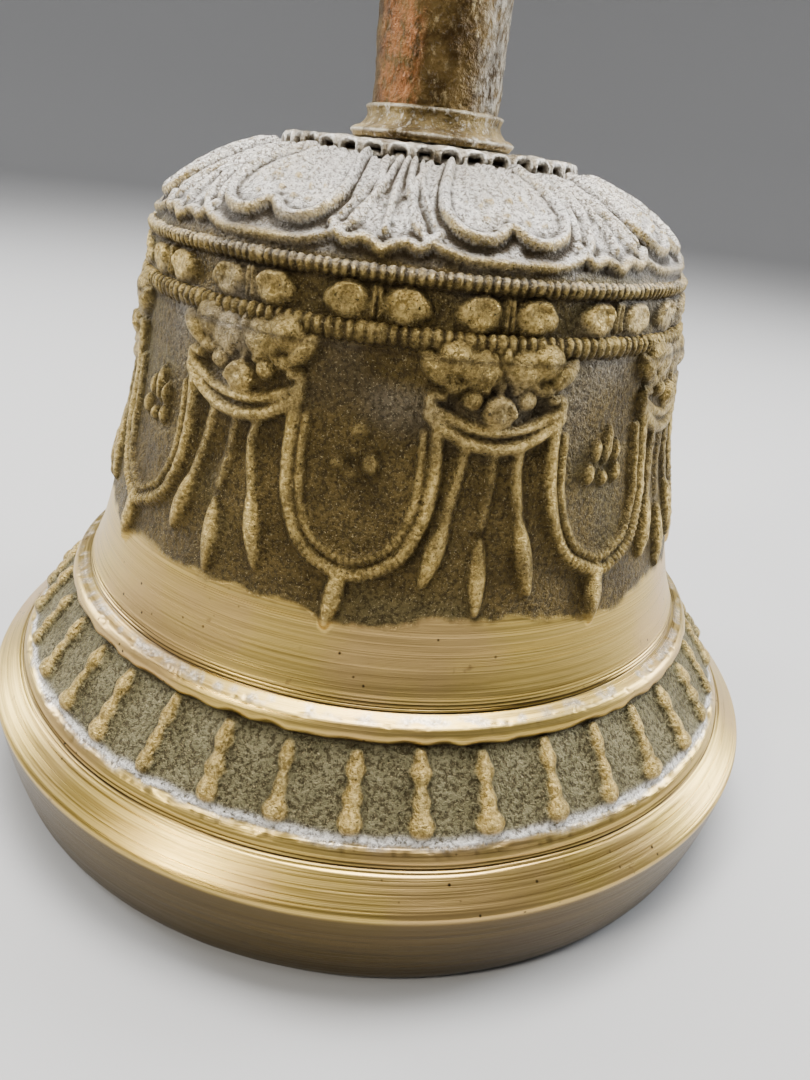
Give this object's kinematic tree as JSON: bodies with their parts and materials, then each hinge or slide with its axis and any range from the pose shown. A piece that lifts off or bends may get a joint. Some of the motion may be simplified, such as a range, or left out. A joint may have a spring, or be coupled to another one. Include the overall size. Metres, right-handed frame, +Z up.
{
  "type": "ritual hand bell",
  "caption": "Flared bronze hand bell with cast relief, a turned rim, a tubular brass handle ending in a pronged crown, and a clapper that swings freely inside.",
  "frame": {"origin": "centre of the rim's flat underside, on the surface the bell stands on", "axes": "+Z up the handle's axis; the clapper's pin lies along X at rest; -Y faces the viewer"},
  "size_m": [0.096, 0.096, 0.182],
  "materials": {
    "bell_bronze": "cast bronze, olive-brown patina with turned bright bands",
    "crown_bronze": "cast bronze with pale dusty patina",
    "collar_brass": "worn cast brass",
    "tube_brass": "rough cast brass, gold-brown with dark stains",
    "gilt_brass": "cast brass, worn golden",
    "prong_brass": "cast brass, worn golden",
    "washer_brass": "turned brass, dull",
    "steel": "plain turned steel, dull",
    "iron": "forged iron, dark oxide"
  },
  "bodies": {
    "bell": {"bell_shell": "bell_bronze", "crown_ring": "crown_bronze", "handle_collar": "collar_brass", "handle_tube": "tube_brass", "knop_ring_lower": "gilt_brass", "handle_vase": "gilt_brass", "knop_ring_upper": "gilt_brass", "lotus_hub": "gilt_brass", "prong_centre": "prong_brass", "prong_outer_1": "prong_brass", "prong_outer_2": "prong_brass", "prong_outer_3": "prong_brass", "prong_outer_4": "prong_brass", "through_rod": "steel", "inner_washer": "washer_brass", "clamp_nut": "steel", "end_nut": "steel"},
    "hanger": {"hanger": "steel", "hanger_pin": "steel"},
    "clapper": {"clapper_stem": "iron", "clapper_head": "iron", "clapper_nut": "steel"}
  },
  "joints": [
    {"name": "hanger_swivel", "type": "hinge", "parent": "bell", "child": "hanger", "pos_m": [0, 0, 0.058], "axis": [0, 0, 1], "continuous": true},
    {"name": "clapper_swing", "type": "hinge", "parent": "hanger", "child": "clapper", "pos_m": [0, 0, 0.0475], "axis": [1, 0, 0], "range_deg": [-48, 48]}
  ]
}
